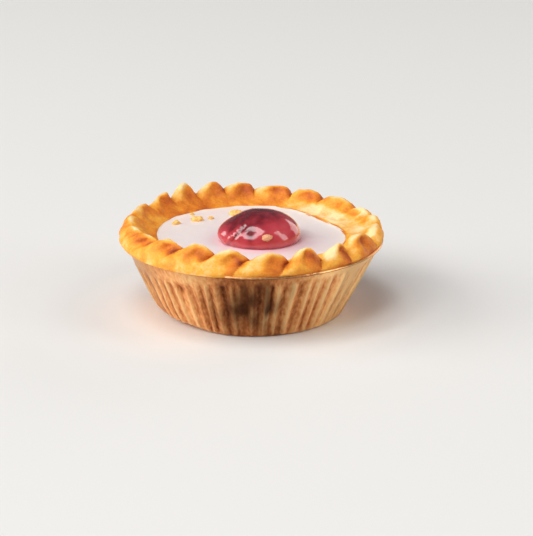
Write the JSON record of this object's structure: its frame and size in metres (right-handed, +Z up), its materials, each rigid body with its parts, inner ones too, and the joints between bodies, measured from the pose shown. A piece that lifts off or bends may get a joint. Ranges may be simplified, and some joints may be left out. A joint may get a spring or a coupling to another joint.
{
  "type": "cherry bakewell tart",
  "caption": "Individual round pastry tart with a crimped rim in a fluted foil case, topped with white icing and half a glace cherry.",
  "frame": {"origin": "middle of the footprint, on the surface the tart stands on", "axes": "+Z up out of the icing; +X to the right and -Y towards the viewer of the picture's side"},
  "size_m": [0.0683, 0.068, 0.0277],
  "materials": {
    "foil_case": "thin copper-coloured lacquered foil, satin sheen, pleated",
    "pastry_shell": "baked shortcrust pastry, golden with darker hollows",
    "icing": "set white fondant icing, soft satin",
    "glace_cherry": "syrupy red glace cherry, wet gloss"
  },
  "bodies": {
    "root": {"foil_case": "foil_case", "pastry_shell": "pastry_shell", "icing": "icing", "glace_cherry": "glace_cherry"}
  },
  "joints": []
}
